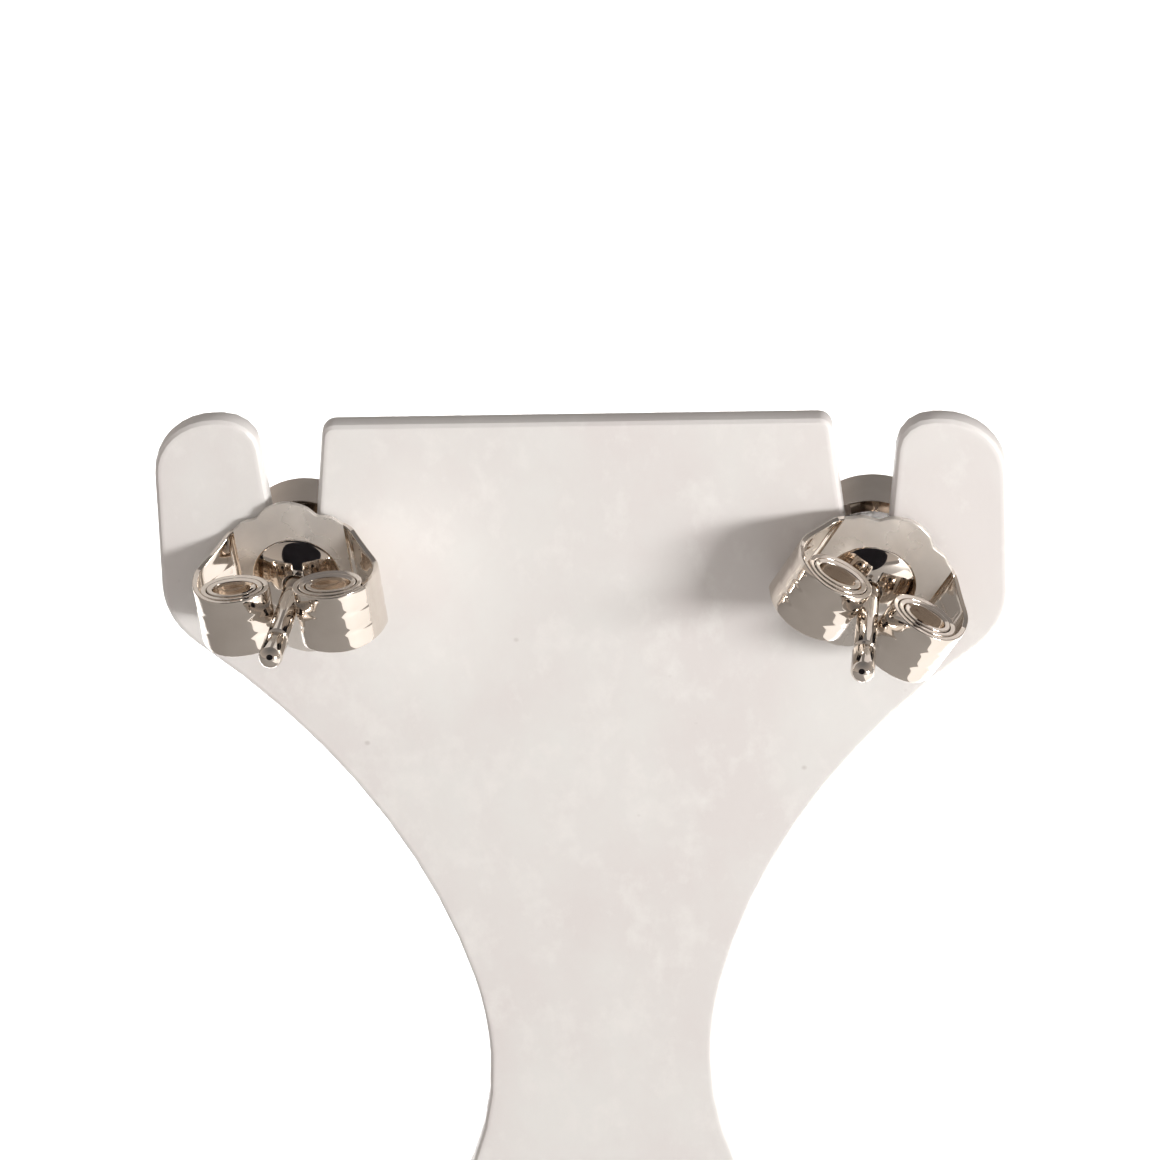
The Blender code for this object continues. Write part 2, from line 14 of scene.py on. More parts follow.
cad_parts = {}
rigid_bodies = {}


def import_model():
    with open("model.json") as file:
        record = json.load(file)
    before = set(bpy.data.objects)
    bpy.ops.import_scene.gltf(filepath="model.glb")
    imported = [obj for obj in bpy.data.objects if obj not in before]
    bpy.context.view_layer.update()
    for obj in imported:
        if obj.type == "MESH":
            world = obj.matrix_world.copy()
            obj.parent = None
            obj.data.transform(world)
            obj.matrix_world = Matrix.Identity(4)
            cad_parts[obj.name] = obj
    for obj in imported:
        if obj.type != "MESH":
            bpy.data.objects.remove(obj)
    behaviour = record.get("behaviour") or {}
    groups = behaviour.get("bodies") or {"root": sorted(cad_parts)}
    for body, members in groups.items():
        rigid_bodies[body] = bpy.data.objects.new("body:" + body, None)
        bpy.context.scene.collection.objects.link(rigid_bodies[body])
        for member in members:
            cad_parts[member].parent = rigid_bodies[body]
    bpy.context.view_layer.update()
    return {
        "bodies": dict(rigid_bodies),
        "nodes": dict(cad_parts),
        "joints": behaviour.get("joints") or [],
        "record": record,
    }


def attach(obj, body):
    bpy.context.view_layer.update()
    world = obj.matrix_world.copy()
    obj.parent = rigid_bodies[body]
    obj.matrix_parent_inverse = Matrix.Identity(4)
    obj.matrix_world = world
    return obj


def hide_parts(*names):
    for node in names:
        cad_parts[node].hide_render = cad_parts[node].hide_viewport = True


MM = 0.001

# The sheet's own frame in the model: +X to the picture's right, +Y up the sheet, +Z out of its back
LEAN = math.radians(12.0)
SHEET_ORIGIN = (0.0, -2.364 * MM, 42.246 * MM)
SHEET = 0.9 * MM
SLOT_SPREAD = 10.55 * MM
SLOT_END_RADIUS = 0.6 * MM

# Camera, as a direction and distance from the point between the two earrings
VIEW_SIDE = math.radians(4.5)
VIEW_RISE = math.radians(33.0)
VIEW_ROLL = math.radians(-2.4)
VIEW_ANGLE = math.radians(20.0)
VIEW_DISTANCE = 121.38 * MM
VIEW_TARGET = (-0.049 * MM, -0.4 * MM, 0.0)
VIEW_CLIP = (1.0 * MM, 10.0)

# The dark oval that polished metal shows: its angle above the sheet's axis, place and half sizes
DARK_RISE = math.radians(23.0)
DARK_DISTANCE = 124.0 * MM
DARK_ASIDE = -17.0 * MM
DARK_HALF_WIDTH = 75.0 * MM
DARK_HALF_HEIGHT = 60.0 * MM
DARK_SIDES = 64

# Lights. Each stands off the spot it aims at, in the sheet's frame or the room's, and may light
# shapes, show in reflections, or both.
LIGHTS = (
    {
        "name": "key",
        "on_sheet": True,
        "spot": (0.0, 0.0, 0.0),
        "way": (0.80, 0.12, 0.59),
        "distance": 400.0 * MM,
        "shape": "RECTANGLE",
        "size": (130.0 * MM, 70.0 * MM),
        "watts": 1.47,
        "color": (1.0, 0.985, 0.96),
        "spread": 180.0,
        "on_shapes": True,
        "in_gloss": True,
    },
    {
        "name": "fill",
        "on_sheet": True,
        "spot": (0.0, 0.0, 0.0),
        "way": (-0.55, 0.35, 0.75),
        "distance": 300.0 * MM,
        "shape": "RECTANGLE",
        "size": (250.0 * MM, 200.0 * MM),
        "watts": 0.09,
        "color": (1.0, 0.98, 0.96),
        "spread": 180.0,
        "on_shapes": True,
        "in_gloss": False,
    },
    {
        "name": "side_card",
        "on_sheet": False,
        "spot": (-66.0 * MM, 30.0 * MM, 100.0 * MM),
        "way": (0.0, 0.0, -1.0),
        "distance": 98.0 * MM,
        "shape": "RECTANGLE",
        "size": (90.0 * MM, 120.0 * MM),
        "watts": 0.031,
        "color": (1.0, 0.975, 0.935),
        "spread": 180.0,
        "on_shapes": False,
        "in_gloss": True,
    },
    {
        "name": "glow_off_loop",
        "on_sheet": True,
        "spot": (-6.6 * MM, -0.2 * MM, 0.0),
        "way": (0.0, 0.0, 1.0),
        "distance": 5.0 * MM,
        "shape": "RECTANGLE",
        "size": (4.0 * MM, 8.0 * MM),
        "watts": 0.00002,
        "color": (1.0, 0.95, 0.90),
        "spread": 90.0,
        "on_shapes": True,
        "in_gloss": False,
    },
    {
        "name": "background",
        "on_sheet": False,
        "spot": (0.0, -200.0 * MM, 0.0),
        "way": (0.0, 0.0, 1.0),
        "distance": 100.0 * MM,
        "shape": "ELLIPSE",
        "size": (320.0 * MM, 368.0 * MM),
        "watts": 0.55,
        "color": (1.0, 1.0, 1.0),
        "spread": 14.0,
        "on_shapes": True,
        "in_gloss": False,
    },
)
REFLECTION_BOUNCES = 10

# Floor, in metres
FLOOR_HALF_SIDE = 2.5
FLOOR_CELLS = 4

# Setting
COLLET_BACK_RADIUS = 2.45 * MM
COLLET_RIM_RADIUS = 2.55 * MM
COLLET_DEPTH = 1.6 * MM
COLLET_WALL = 0.5 * MM
COLLET_RIM_CHAMFER = 0.07 * MM
STONE_RADIUS = 1.95 * MM
GIRDLE_DEPTH = 1.55 * MM
PAVILION_ANGLE = math.radians(40.8)
LIP_RISE = 0.2 * MM
LIP_COVER = 0.13 * MM
SEAT_COVER = 0.45 * MM
BAR_WIDTH = 0.55 * MM
BAR_HEIGHT = 0.26 * MM
BAR_INSET = 0.04 * MM
POST_RADIUS = 0.39 * MM
POST_LENGTH = 7.25 * MM
POST_HEAD_RADIUS = 0.52 * MM
POST_HEAD_BACK = 0.12 * MM
GROOVE_DEPTH = 0.1 * MM
GROOVE_WIDTH = 0.3 * MM
TIP_LENGTH = 1.4 * MM
TIP_RADIUS = 0.43 * MM

# Butterfly back
STRIP = 0.2 * MM
STRIP_HALF_WIDTH = 1.15 * MM
PLATE_RADIUS = 3.22 * MM
DOME_RADIUS = 1.6 * MM
DOME_EDGE_ANGLE = math.radians(38.0)
LOOP_SPREAD = 3.45 * MM
LOOP_DEPTH = 3.6 * MM
WIDEST_SHARE = 0.47
ROLL_HALF_DEPTH = 1.05 * MM
ROLL_SHRINK = 0.33
ROLL_END = 2.55 * 2 * math.pi
LEG_ANGLE = math.radians(50.0)
LEG_BEND_RADIUS = 0.45 * MM
LEG_CURVE = 1.0 * MM
BAND_CROWN = 0.02 * MM
CROWN_POWER = 6
BANDS = 3
GRIP_CLEARANCE = 0.06 * MM
SEAT_CLEARANCE = 0.05 * MM
REST_CLEARANCE = 0.05 * MM

# Plate outline: distance along the strip and half width there, as shares of PLATE_RADIUS
PLATE_OUTLINE = (
    {"along": 0.00, "half_width": 1.00},
    {"along": 0.11, "half_width": 0.98},
    {"along": 0.23, "half_width": 0.93},
    {"along": 0.285, "half_width": 0.885},
    {"along": 0.345, "half_width": 0.82},
    {"along": 0.40, "half_width": 0.80},
    {"along": 0.475, "half_width": 0.785},
    {"along": 0.535, "half_width": 0.765},
    {"along": 0.60, "half_width": 0.71},
    {"along": 0.675, "half_width": 0.66},
    {"along": 0.82, "half_width": 0.565},
    {"along": 1.13, "half_width": 0.42},
)
STRIP_START = 1.35

# Size of the roll after so many turns, as a share of its first size. The first half turn shrinks
# evenly, by ROLL_SHRINK a turn, and the later turns lie close. The row before it ends only steers
# the curve.
EVEN_TURNS = 0.5
ROLL_SHARES = (
    (0.25, 0.9175),
    (0.5, 0.835),
    (0.75, 0.7525),
    (1.0, 0.70),
    (1.25, 0.70),
    (1.5, 0.684),
    (1.75, 0.54),
    (2.0, 0.55),
    (2.25, 0.48),
    (2.5, 0.52),
    (2.75, 0.34),
)

# How each earring sits: its side, how far aside its post lies as a share of the slot's play,
# how far the post swings and droops and its back's turn, in degrees, and how deep its back's
# loops stand as a share of LOOP_DEPTH
EARRINGS = (
    {
        "name": "right",
        "side": -1,
        "aside": 0.8,
        "swing": 3.0,
        "droop": -1.5,
        "turn": 5.0,
        "loops": 1.0,
    },
    {
        "name": "left",
        "side": 1,
        "aside": 0.8,
        "swing": 4.0,
        "droop": 4.5,
        "turn": -29.0,
        "loops": 0.89,
    },
)

# Fineness of the meshes
ROUND_SIDES = 96
POST_SIDES = 48
HEAD_FILLET_STEPS = 8
GROOVE_STEPS = 14
TIP_STEPS = 14
STRIP_CELLS = 8 * BANDS
ROLL_STEP = math.radians(4.0)
LEG_BEND_STEPS = 14
LEG_STEPS = 10
OUTLINE_STEP = 0.05 * MM
DOME_RINGS = 18
DOME_FILLET = 0.08 * MM
EDGE_ROUNDING = 0.05 * MM

# Smoothing of the stand: corners that meet and faces that are level join, and only edges sharper
# than the last angle stay sharp
MERGE = 0.0005 * MM
FLAT_ANGLE = math.radians(0.5)
SHARP_ANGLE = math.radians(25.0)


def sheet_frame():
    """Matrix from the sheet's frame to the model's."""
    up = Vector((0.0, math.sin(LEAN), math.cos(LEAN)))
    out = Vector((0.0, math.cos(LEAN), -math.sin(LEAN)))
    axes = Matrix((Vector((-1.0, 0.0, 0.0)), up, out)).transposed()
    return Matrix.Translation(SHEET_ORIGIN) @ axes.to_4x4()


def object_from_bmesh(name, form, finishes, frame):
    """A smooth-shaded object of the form, with its mesh carried by the frame's matrix."""
    bmesh.ops.recalc_face_normals(form, faces=form.faces)
    mesh = bpy.data.meshes.new(name)
    form.to_mesh(mesh)
    form.free()
    mesh.transform(frame)
    for finish in finishes:
        mesh.materials.append(finish)
    mesh.shade_smooth()
    made = bpy.data.objects.new(name, mesh)
    bpy.context.scene.collection.objects.link(made)
    return made


def round_edges(piece, segments, angle):
    """Rounds the edges sharper than so many degrees and shades the rest smoothly."""
    step = piece.modifiers.new("edges", "BEVEL")
    step.width = EDGE_ROUNDING
    step.segments = segments
    step.limit_method = "ANGLE"
    step.angle_limit = math.radians(angle)
    step.harden_normals = True
    step.miter_outer = "MITER_ARC"


def arc(centre, radius, start, stop, steps):
    """Points along an arc, from the start angle to the stop angle."""
    points = []
    for step in range(steps + 1):
        angle = start + (stop - start) * step / steps
        points.append((centre[0] + radius * math.cos(angle), centre[1] + radius * math.sin(angle)))
    return points


def add_turned(form, profile, sides):
    """Adds a solid turned about Z from (radius, height) points; a radius of 0 closes an end."""
    rings = []
    for radius, height in profile:
        if radius == 0.0:
            rings.append([form.verts.new((0.0, 0.0, height))])
            continue
        ring = []
        for side in range(sides):
            angle = 2 * math.pi * side / sides
            spot = (radius * math.cos(angle), radius * math.sin(angle), height)
            ring.append(form.verts.new(spot))
        rings.append(ring)
    pairs = list(zip(rings, rings[1:]))
    if profile[0][0] > 0.0:
        pairs.append((rings[-1], rings[0]))
    faces = []
    for lower, upper in pairs:
        for side in range(sides):
            after = (side + 1) % sides
            if len(lower) == 1:
                faces.append(form.faces.new((lower[0], upper[after], upper[side])))
            elif len(upper) == 1:
                faces.append(form.faces.new((lower[side], lower[after], upper[0])))
            else:
                corners = (lower[side], lower[after], upper[after], upper[side])
                faces.append(form.faces.new(corners))
    return faces


def make_stand(name, node, finish):
    """The node's own shape, with its small facets shaded as smooth curves."""
    form = bmesh.new()
    verts = [form.verts.new(vert.co) for vert in node.data.vertices]
    for face in node.data.polygons:
        form.faces.new([verts[index] for index in face.vertices])
    bmesh.ops.remove_doubles(form, verts=form.verts[:], dist=MERGE)
    verts, edges = form.verts[:], form.edges[:]
    bmesh.ops.dissolve_limit(form, angle_limit=FLAT_ANGLE, verts=verts, edges=edges)
    piece = object_from_bmesh(name, form, [finish], Matrix.Identity(4))
    piece.data.set_sharp_from_angle(angle=SHARP_ANGLE)
    shading = piece.modifiers.new("even_shading", "WEIGHTED_NORMAL")
    shading.keep_sharp = True
    return piece


def make_setting(name, finishes, frame, back):
    """Collet, bar and post; the post runs along +Z from z = back."""
    inner = COLLET_BACK_RADIUS - COLLET_WALL
    ledge = STONE_RADIUS - SEAT_COVER
    lip_inner = STONE_RADIUS - LIP_COVER
    lip_top = COLLET_DEPTH + LIP_RISE
    seat = GIRDLE_DEPTH - SEAT_COVER * math.tan(PAVILION_ANGLE)
    form = bmesh.new()
    section = [
        (inner, back),
        (COLLET_BACK_RADIUS, back),
        (COLLET_RIM_RADIUS, back - COLLET_DEPTH + COLLET_RIM_CHAMFER),
        (COLLET_RIM_RADIUS - COLLET_RIM_CHAMFER, back - COLLET_DEPTH),
        ((COLLET_RIM_RADIUS + STONE_RADIUS) / 2, back - lip_top),
        (lip_inner, back - lip_top),
        (lip_inner, back - GIRDLE_DEPTH),
        (ledge, back - GIRDLE_DEPTH),
        (ledge, back - seat + BAR_INSET),
        (inner, back - seat + COLLET_WALL),
    ]
    faces = add_turned(form, section, ROUND_SIDES)
    # The collet's inside takes the second finish, a darker copy of the gold that is painted shade
    # in the recess.
    first_shaded_row = section.index((lip_inner, back - GIRDLE_DEPTH))
    for face in faces[first_shaded_row * ROUND_SIDES :]:
        face.material_index = 1

    made = bmesh.ops.create_cube(form, size=1.0)
    size = (2 * inner + COLLET_WALL, BAR_WIDTH, BAR_HEIGHT)
    bmesh.ops.scale(form, vec=size, verts=made["verts"])
    middle = back - BAR_INSET - BAR_HEIGHT / 2
    bmesh.ops.translate(form, vec=(0.0, 0.0, middle), verts=made["verts"])

    end = back + POST_LENGTH
    groove = end - TIP_LENGTH
    head_front = back - BAR_HEIGHT - 2 * BAR_INSET
    head_back = back + POST_HEAD_BACK
    fillet = POST_HEAD_RADIUS - POST_RADIUS
    profile = [(0.0, head_front), (POST_HEAD_RADIUS, head_front)]
    profile.append((POST_HEAD_RADIUS, head_back - fillet))
    hollow = (POST_HEAD_RADIUS, head_back + fillet)
    profile += arc(hollow, fillet, -math.pi / 2, -math.pi, HEAD_FILLET_STEPS)
    for step in range(GROOVE_STEPS + 1):
        share = step / GROOVE_STEPS
        depth = GROOVE_DEPTH * 0.5 * (1 - math.cos(2 * math.pi * share))
        around = POST_RADIUS + (TIP_RADIUS - POST_RADIUS) * max(2 * share - 1, 0.0)
        profile.append((around - depth, groove - GROOVE_WIDTH + GROOVE_WIDTH * share))
    profile += arc((0.0, end - TIP_RADIUS), TIP_RADIUS, 0.0, math.pi / 2, TIP_STEPS)[:-1]
    profile.append((0.0, end))
    add_turned(form, profile, POST_SIDES)
    piece = object_from_bmesh(name, form, finishes, frame)
    round_edges(piece, segments=3, angle=40.0)
    return piece


def smooth_row(rows, along):
    """Value at a distance, on the smooth curve through (distance, value) rows."""
    if along >= rows[-1][0]:
        return rows[-1][1]
    index = max(i for i, row in enumerate(rows) if row[0] <= along)
    before = rows[index - 1] if index else (-rows[1][0], rows[1][1])
    here, there = rows[index], rows[index + 1]
    after = rows[index + 2] if index + 2 < len(rows) else (there[0] * 2 - here[0], there[1])
    span = there[0] - here[0]
    t = (along - here[0]) / span
    lead = (there[1] - before[1]) / (there[0] - before[0]) * span
    tail = (after[1] - here[1]) / (after[0] - here[0]) * span
    square, cube = t * t, t * t * t
    value = (2 * cube - 3 * square + 1) * here[1] + (cube - 2 * square + t) * lead
    return value + (3 * square - 2 * cube) * there[1] + (cube - square) * tail


def plate_rows():
    """Half width of the strip along its length, as (distance, half width) rows."""
    rows = []
    for row in PLATE_OUTLINE:
        rows.append((row["along"] * PLATE_RADIUS, row["half_width"] * PLATE_RADIUS))
    rows.append((STRIP_START * PLATE_RADIUS, STRIP_HALF_WIDTH))
    return rows


def loop_path(loop_depth):
    """Middle line of the strip beyond the flat plate: (across, height, distance along) points."""
    middle = STRIP / 2
    near = POST_RADIUS + GRIP_CLEARANCE + middle
    far = LOOP_SPREAD - middle
    half_across = (far - near) / (2 - ROLL_SHRINK / 2)
    centre = far - half_across
    crest = loop_depth - middle
    widest = WIDEST_SHARE * loop_depth
    crest_share = 1 - ROLL_SHRINK / 4

    def roll(angle):
        turns = angle / (2 * math.pi)
        if turns < EVEN_TURNS:
            share = 1 - ROLL_SHRINK * turns
        else:
            share = smooth_row(ROLL_SHARES, turns)
        across = centre + half_across * share * math.cos(angle)
        if angle < 0.0:
            return across, widest + LEG_CURVE * share * math.sin(angle)
        if angle < math.pi / 2:
            return across, widest + (crest - widest) * share / crest_share * math.sin(angle)
        return across, crest + ROLL_HALF_DEPTH * (share * math.sin(angle) - crest_share)

    start = -math.atan(LEG_CURVE / half_across / math.tan(LEG_ANGLE))
    top = roll(start)
    bend_rise = middle + LEG_BEND_RADIUS * (1 - math.cos(LEG_ANGLE))
    bend_end = top[0] - (top[1] - bend_rise) / math.tan(LEG_ANGLE)
    flat_end = bend_end - LEG_BEND_RADIUS * math.sin(LEG_ANGLE)
    bend_centre = (flat_end, middle + LEG_BEND_RADIUS)
    down = -math.pi / 2
    points = arc(bend_centre, LEG_BEND_RADIUS, down, down + LEG_ANGLE, LEG_BEND_STEPS)
    for step in range(1, LEG_STEPS):
        share = step / LEG_STEPS
        across = bend_end + (top[0] - bend_end) * share
        points.append((across, bend_rise + (top[1] - bend_rise) * share))
    roll_steps = math.ceil((ROLL_END - start) / ROLL_STEP)
    for step in range(roll_steps + 1):
        points.append(roll(start + (ROLL_END - start) * step / roll_steps))
    path = []
    along = flat_end
    before = points[0]
    for point in points:
        along += math.dist(before, point)
        path.append((point[0], point[1], along))
        before = point
    return path


def dome(radius):
    """Height of the plate's dome, part of a ball that meets the flat plate at DOME_RADIUS."""
    ball = DOME_RADIUS / math.sin(DOME_EDGE_ANGLE)
    sunk = ball * math.cos(DOME_EDGE_ANGLE)
    return math.sqrt(ball**2 - min(radius, DOME_RADIUS) ** 2) - sunk


def band_crown(share):
    """How proud the strip stands at a place across it, -1 to 1, as a share of BAND_CROWN."""
    place = (share + 1) / 2 * BANDS
    within = place - min(math.floor(place), BANDS - 1)
    return 1 - (2 * within - 1) ** CROWN_POWER


def make_butterfly(name, finishes, frame, loop_depth):
    """The whole back from one strip, its underside at z = 0 and the post's axis along Z."""
    form = bmesh.new()
    path = loop_path(loop_depth)
    rows = plate_rows()
    flat_end = path[0][2]
    columns = {}
    for side in (1, -1):
        for index, (across, height, along) in enumerate(path):
            ahead = path[min(index + 1, len(path) - 1)]
            behind = path[max(index - 1, 0)]
            run = Vector((ahead[0] - behind[0], ahead[1] - behind[1])).normalized()
            raised = min((along - flat_end) / LEG_BEND_RADIUS, 1.0) * BAND_CROWN
            half_width = smooth_row(rows, along)
            column = []
            for cell in range(STRIP_CELLS + 1):
                share = 2 * cell / STRIP_CELLS - 1
                crown = raised * band_crown(share)
                x = across + run.y * crown
                z = height - run.x * crown
                column.append(form.verts.new((side * x, share * half_width, z)))
            columns[side, index] = column
        for index in range(len(path) - 1):
            for cell in range(STRIP_CELLS):
                corners = (
                    columns[side, index][cell],
                    columns[side, index + 1][cell],
                    columns[side, index + 1][cell + 1],
                    columns[side, index][cell + 1],
                )
                form.faces.new(corners)

    middle = STRIP / 2
    count = math.ceil(2 * flat_end / OUTLINE_STEP)
    across_plate = [flat_end - 2 * flat_end * step / count for step in range(1, count)]
    edge = list(columns[1, 0])
    for x in across_plate:
        edge.append(form.verts.new((x, smooth_row(rows, abs(x)), middle)))
    edge += list(reversed(columns[-1, 0]))
    for x in reversed(across_plate):
        edge.append(form.verts.new((x, -smooth_row(rows, abs(x)), middle)))
    hole = POST_RADIUS + GRIP_CLEARANCE
    rings = [edge]
    radii = [DOME_RADIUS + DOME_FILLET]
    for step in range(DOME_RINGS + 1):
        radii.append(DOME_RADIUS + (hole - DOME_RADIUS) * step / DOME_RINGS)
    for radius in radii:
        ring = []
        for vert in edge:
            angle = math.atan2(vert.co.y, vert.co.x)
            spot = (radius * math.cos(angle), radius * math.sin(angle), middle + dome(radius))
            ring.append(form.verts.new(spot))
        rings.append(ring)
    for step, (outer, inner) in enumerate(zip(rings, rings[1:])):
        for index in range(len(outer)):
            after = (index + 1) % len(outer)
            face = form.faces.new((outer[index], outer[after], inner[after], inner[index]))
            face.material_index = int(step == 0)
    piece = object_from_bmesh(name, form, finishes, frame)
    wall = piece.modifiers.new("strip_thickness", "SOLIDIFY")
    wall.thickness = STRIP
    wall.offset = 0.0
    round_edges(piece, segments=2, angle=50.0)
    return piece


class Nodes:
    """Short calls to add and link shader nodes of one material."""

    def __init__(self, material):
        self.tree = material.node_tree
        self.tree.nodes.clear()

    def add(self, kind, inputs=None, **settings):
        node = self.tree.nodes.new(kind)
        for key, value in settings.items():
            setattr(node, key, value)
        for key, value in (inputs or {}).items():
            self.feed(node, key, value)
        return node

    def feed(self, node, key, value):
        socket = node.inputs[key]
        if isinstance(value, bpy.types.NodeSocket):
            self.tree.links.new(value, socket)
        elif isinstance(value, bpy.types.Node):
            self.tree.links.new(value.outputs[0], socket)
        else:
            socket.default_value = value

    def noise(self, place, scale, detail, roughness):
        inputs = {"Vector": place, "Scale": scale, "Detail": detail, "Roughness": roughness}
        return self.add("ShaderNodeTexNoise", inputs)

    def ramp(self, value, low, high, start=0.0, stop=1.0):
        """Carries low to high over to start to stop, and holds the ends beyond them."""
        inputs = {"Value": value, "From Min": low, "From Max": high}
        return self.add("ShaderNodeMapRange", {**inputs, "To Min": start, "To Max": stop})

    def mix(self, share, first, second):
        node = self.add("ShaderNodeMix", data_type="RGBA")
        self.feed(node, 0, share)
        self.feed(node, 6, first)
        self.feed(node, 7, second)
        return node.outputs[2]

    def output(self, shader):
        self.add("ShaderNodeOutputMaterial", {"Surface": shader})


def new_material(name):
    made = bpy.data.materials.new(name)
    made.use_nodes = True
    return made, Nodes(made)


def sheet_place(nodes, scale):
    """Coordinates that follow the sheet, in millimetres times scale."""
    place = nodes.add("ShaderNodeTexCoord")
    inputs = {
        "Vector": place.outputs["Object"],
        "Rotation": (LEAN, 0.0, 0.0),
        "Scale": tuple(value / MM for value in scale),
    }
    return nodes.add("ShaderNodeMapping", inputs)


def stand_material():
    """Satin white sheet with warm clouds, smudges, a few specks, fine grain and light scratches."""
    made, nodes = new_material("stand_white")
    rosy, white = (0.775, 0.745, 0.74, 1.0), (0.805, 0.80, 0.79, 1.0)
    bright, dirt = (0.84, 0.825, 0.815, 1.0), (0.42, 0.38, 0.36, 1.0)
    clouds = nodes.noise(sheet_place(nodes, (0.16, 0.16, 0.11)), 1.0, 5.0, 0.6)
    tint = nodes.mix(nodes.ramp(clouds.outputs[0], 0.38, 0.62), rosy, white)
    smudges = nodes.noise(sheet_place(nodes, (0.75, 0.5, 0.5)), 1.0, 5.0, 0.65)
    smudged = nodes.mix(nodes.ramp(smudges.outputs[0], 0.52, 0.72), tint, bright)
    spot_place = sheet_place(nodes, (0.42, 0.42, 0.42))
    spots = nodes.add("ShaderNodeTexVoronoi", {"Vector": spot_place, "Scale": 1.0})
    spot_share = nodes.ramp(spots.outputs["Distance"], 0.02, 0.06, 0.4, 0.0)
    speckled = nodes.mix(spot_share, smudged, dirt)
    grain = nodes.noise(sheet_place(nodes, (5.0, 5.0, 1.2)), 1.0, 4.0, 0.6)
    scratches = nodes.noise(sheet_place(nodes, (3.2, 3.2, 0.5)), 1.0, 2.0, 0.7)
    marks = {0: scratches.outputs[0], 1: grain.outputs[0]}
    height = nodes.add("ShaderNodeMath", marks, operation="ADD")
    relief = {"Strength": 0.2, "Distance": 0.01 * MM, "Height": height}
    bump = nodes.add("ShaderNodeBump", relief)
    shine = nodes.ramp(grain.outputs[0], 0.3, 0.7, 0.42, 0.55)
    shader = nodes.add(
        "ShaderNodeBsdfPrincipled",
        {
            "Base Color": speckled,
            "Roughness": shine.outputs[0],
            "Normal": bump,
            "Coat Weight": 0.5,
            "Coat Roughness": 0.16,
        },
    )
    nodes.output(shader)
    return made


def gold_material(name, color, dull, roughness, metallic):
    """White gold with slight waves, hair scratches and a faint film of a duller colour."""
    made, nodes = new_material(name)
    place = nodes.add("ShaderNodeTexCoord").outputs["Object"]
    film = nodes.noise(place, 0.9 / MM, 3.0, 0.5)
    tone = nodes.mix(nodes.ramp(film.outputs[0], 0.35, 0.7), (*color, 1.0), (*dull, 1.0))
    waves = nodes.noise(place, 1.1 / MM, 1.0, 0.4)
    hair = nodes.noise(place, 22.0 / MM, 2.0, 0.6)
    relief = {"Strength": 0.25, "Distance": 0.02 * MM, "Height": waves.outputs[0]}
    soft = nodes.add("ShaderNodeBump", relief)
    relief = {"Strength": 0.05, "Distance": 0.002 * MM, "Height": hair.outputs[0]}
    fine = nodes.add("ShaderNodeBump", {**relief, "Normal": soft})
    shine = nodes.ramp(film.outputs[0], 0.3, 0.75, roughness, roughness * 1.8)
    shader = nodes.add(
        "ShaderNodeBsdfPrincipled",
        {"Base Color": tone, "Metallic": metallic, "Roughness": shine.outputs[0], "Normal": fine},
    )
    nodes.output(shader)
    return made


def diamond_material():
    """Clear diamond with the faintest haze and warm and cold shifts."""
    made, nodes = new_material("diamond")
    place = nodes.add("ShaderNodeTexCoord").outputs["Object"]
    haze = nodes.noise(place, 2.0 / MM, 2.0, 0.5)
    shine = nodes.ramp(haze.outputs[0], 0.4, 0.8, 0.0, 0.01)
    cold, warm = (0.97, 0.985, 1.0, 1.0), (1.0, 0.995, 0.98, 1.0)
    tone = nodes.mix(nodes.ramp(haze.outputs[0], 0.3, 0.7), cold, warm)
    shader = nodes.add(
        "ShaderNodeBsdfPrincipled",
        {
            "Base Color": tone,
            "Roughness": shine.outputs[0],
            "IOR": 2.42,
            "Transmission Weight": 1.0,
        },
    )
    nodes.output(shader)
    return made


def clouded_material(name, scale, detail, first, second, roughness):
    """A matt surface clouded from one colour to another."""
    made, nodes = new_material(name)
    place = nodes.add("ShaderNodeTexCoord").outputs["Object"]
    clouds = nodes.noise(place, scale, detail, 0.5)
    tone = nodes.mix(clouds.outputs[0], (*first, 1.0), (*second, 1.0))
    shader = nodes.add("ShaderNodeBsdfPrincipled", {"Base Color": tone, "Roughness": roughness})
    nodes.output(shader)
    return made


def make_camera(sheet):
    """Stands the camera where the photograph was taken from."""
    target = Vector(VIEW_TARGET)
    rise = math.cos(VIEW_RISE)
    away = Vector((math.sin(VIEW_SIDE) * rise, math.sin(VIEW_RISE), math.cos(VIEW_SIDE) * rise))
    forward = -away
    right = forward.cross(Vector((0.0, 1.0, 0.0))).normalized()
    up = right.cross(forward)
    turned_right = right * math.cos(VIEW_ROLL) + up * math.sin(VIEW_ROLL)
    turned_up = up * math.cos(VIEW_ROLL) - right * math.sin(VIEW_ROLL)
    axes = Matrix((turned_right, turned_up, away)).transposed().to_4x4()
    lens = bpy.data.cameras.new("photo_camera")
    lens.angle = VIEW_ANGLE
    lens.clip_start, lens.clip_end = VIEW_CLIP
    camera = bpy.data.objects.new("photo_camera", lens)
    camera.matrix_world = sheet @ Matrix.Translation(target + away * VIEW_DISTANCE) @ axes
    bpy.context.scene.collection.objects.link(camera)
    bpy.context.scene.camera = camera


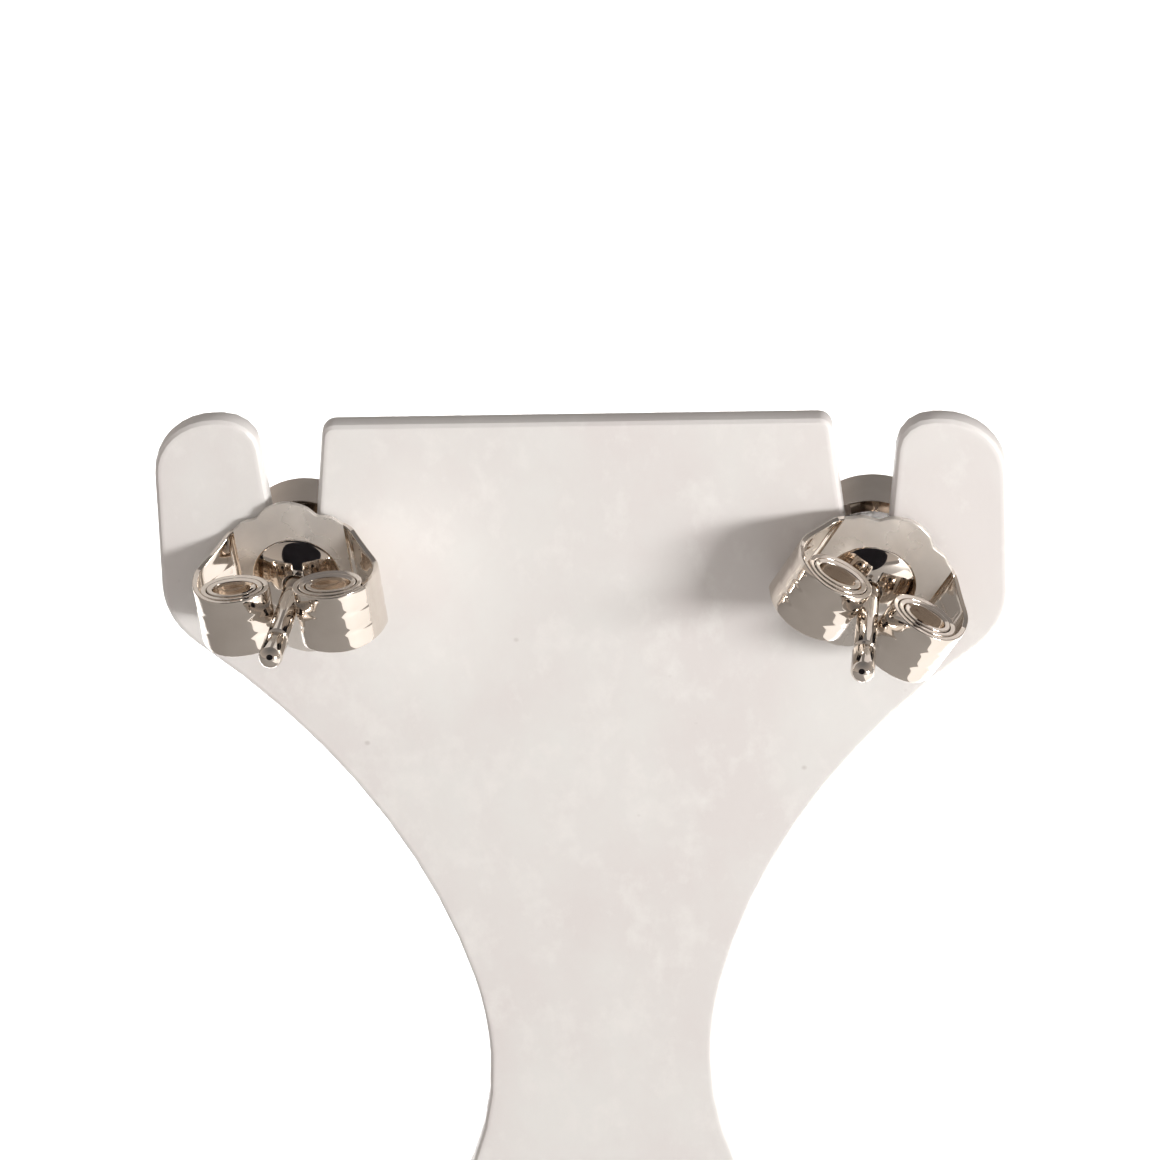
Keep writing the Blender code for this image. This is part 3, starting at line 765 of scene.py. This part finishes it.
def make_lights(sheet):
    for light in LIGHTS:
        frame = sheet if light["on_sheet"] else Matrix.Identity(4)
        spot = Vector(light["spot"])
        aim = frame @ spot
        place = frame @ (spot + Vector(light["way"]).normalized() * light["distance"])
        lamp = bpy.data.lights.new(light["name"], "AREA")
        lamp.shape = light["shape"]
        lamp.size, lamp.size_y = light["size"]
        lamp.energy = light["watts"]
        lamp.color = light["color"]
        lamp.spread = math.radians(light["spread"])
        holder = bpy.data.objects.new(light["name"], lamp)
        holder.location = place
        holder.rotation_euler = (aim - place).to_track_quat("-Z", "Y").to_euler()
        holder.visible_camera = False
        holder.visible_diffuse = light["on_shapes"]
        holder.visible_glossy = light["in_gloss"]
        bpy.context.scene.collection.objects.link(holder)


def make_world():
    """A pale warm room, darker overhead."""
    world = bpy.data.worlds.new("room")
    world.use_nodes = True
    bpy.context.scene.world = world
    nodes = Nodes(world)
    place = nodes.add("ShaderNodeTexCoord").outputs["Generated"]
    parts = nodes.add("ShaderNodeSeparateXYZ", {0: place})
    height = nodes.ramp(parts.outputs["Z"], -0.2, 1.0)
    warm, dim = (0.60, 0.53, 0.47, 1.0), (0.18, 0.173, 0.172, 1.0)
    room = nodes.mix(height, warm, dim)
    background = nodes.add("ShaderNodeBackground", {"Color": room, "Strength": 1.0})
    nodes.add("ShaderNodeOutputWorld", {"Surface": background})


def make_dark_card(sheet):
    """The dark oval that polished metal shows on the camera's side; only reflections show it."""
    way = Vector((0.0, math.sin(DARK_RISE), math.cos(DARK_RISE)))
    form = bmesh.new()
    bmesh.ops.create_circle(form, cap_ends=True, segments=DARK_SIDES, radius=1.0)
    for vert in form.verts:
        vert.co.x *= DARK_HALF_WIDTH
        vert.co.y *= DARK_HALF_HEIGHT
    black, ink = (0.006, 0.006, 0.012), (0.014, 0.013, 0.022)
    finish = clouded_material("dark_card", 40.0, 2.0, black, ink, 0.9)
    turn = way.to_track_quat("Z", "Y").to_matrix().to_4x4()
    middle = way * DARK_DISTANCE + Vector((DARK_ASIDE, 0.0, 0.0))
    frame = sheet @ Matrix.Translation(middle) @ turn
    card = object_from_bmesh("dark_card", form, [finish], frame)
    card.visible_camera = False
    card.visible_diffuse = False
    card.visible_shadow = False
    card.visible_transmission = False


def make_floor():
    form = bmesh.new()
    cells = {"x_segments": FLOOR_CELLS, "y_segments": FLOOR_CELLS}
    bmesh.ops.create_grid(form, size=FLOOR_HALF_SIDE, **cells)
    pale, paler = (0.86, 0.855, 0.845), (0.90, 0.895, 0.89)
    finish = clouded_material("floor_pale", 6.0, 3.0, pale, paler, 0.75)
    floor = object_from_bmesh("floor", form, [finish], Matrix.Identity(4))


def main():
    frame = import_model()
    sheet = sheet_frame()
    nodes = frame["nodes"]

    stand = make_stand("smooth_display_stand", nodes["display_stand"], stand_material())
    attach(stand, "stand")
    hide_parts("display_stand")

    gold = gold_material(
        "white_gold",
        color=(0.79, 0.73, 0.67),
        dull=(0.73, 0.67, 0.61),
        roughness=0.04,
        metallic=1.0,
    )
    satin = gold_material(
        "white_gold_satin",
        color=(0.79, 0.745, 0.70),
        dull=(0.70, 0.66, 0.62),
        roughness=0.22,
        metallic=0.5,
    )
    # A darker copy of the white gold, painted shade for the collet's inside.
    painted_shade_gold = gold_material(
        "white_gold_painted_shade",
        color=(0.34, 0.30, 0.27),
        dull=(0.22, 0.19, 0.17),
        roughness=0.28,
        metallic=1.0,
    )
    stone = diamond_material()

    for earring in EARRINGS:
        name = earring["name"]
        swing = math.radians(earring["swing"])
        droop = math.radians(earring["droop"])
        tilt = math.acos(math.cos(swing) * math.cos(droop))
        play = SLOT_END_RADIUS - POST_RADIUS - REST_CLEARANCE
        aside = play * earring["aside"]
        drop = math.sqrt(play**2 - aside**2)
        middle = Vector((earring["side"] * SLOT_SPREAD + aside, -drop, -SHEET / 2))
        pose = Matrix.Rotation(-swing, 4, "Y") @ Matrix.Rotation(droop, 4, "X")
        axis = sheet @ Matrix.Translation(middle) @ pose
        half_sheet = SHEET / 2 / math.cos(tilt)
        back = -(half_sheet + COLLET_BACK_RADIUS * math.tan(tilt) + SEAT_CLEARANCE)
        rest = half_sheet + PLATE_RADIUS * math.tan(tilt) + SEAT_CLEARANCE

        setting = make_setting(name + "_collet_and_post", [gold, painted_shade_gold], axis, back)
        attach(setting, "stand")
        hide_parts(name + "_setting")

        turn = Matrix.Rotation(math.radians(earring["turn"]), 4, "Z")
        place = axis @ Matrix.Translation((0.0, 0.0, rest)) @ turn
        loop_depth = LOOP_DEPTH * earring["loops"]
        nut = make_butterfly(name + "_rolled_back", [gold, satin], place, loop_depth)
        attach(nut, name + "_back")
        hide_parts(name + "_butterfly_back")

        gem = nodes[name + "_diamond"]
        gem.data.materials.clear()
        gem.data.materials.append(stone)

    make_floor()
    make_world()
    make_dark_card(sheet)
    make_lights(sheet)
    make_camera(sheet)
    bpy.context.scene.view_settings.view_transform = "Standard"
    bpy.context.scene.cycles.glossy_bounces = REFLECTION_BOUNCES


main()
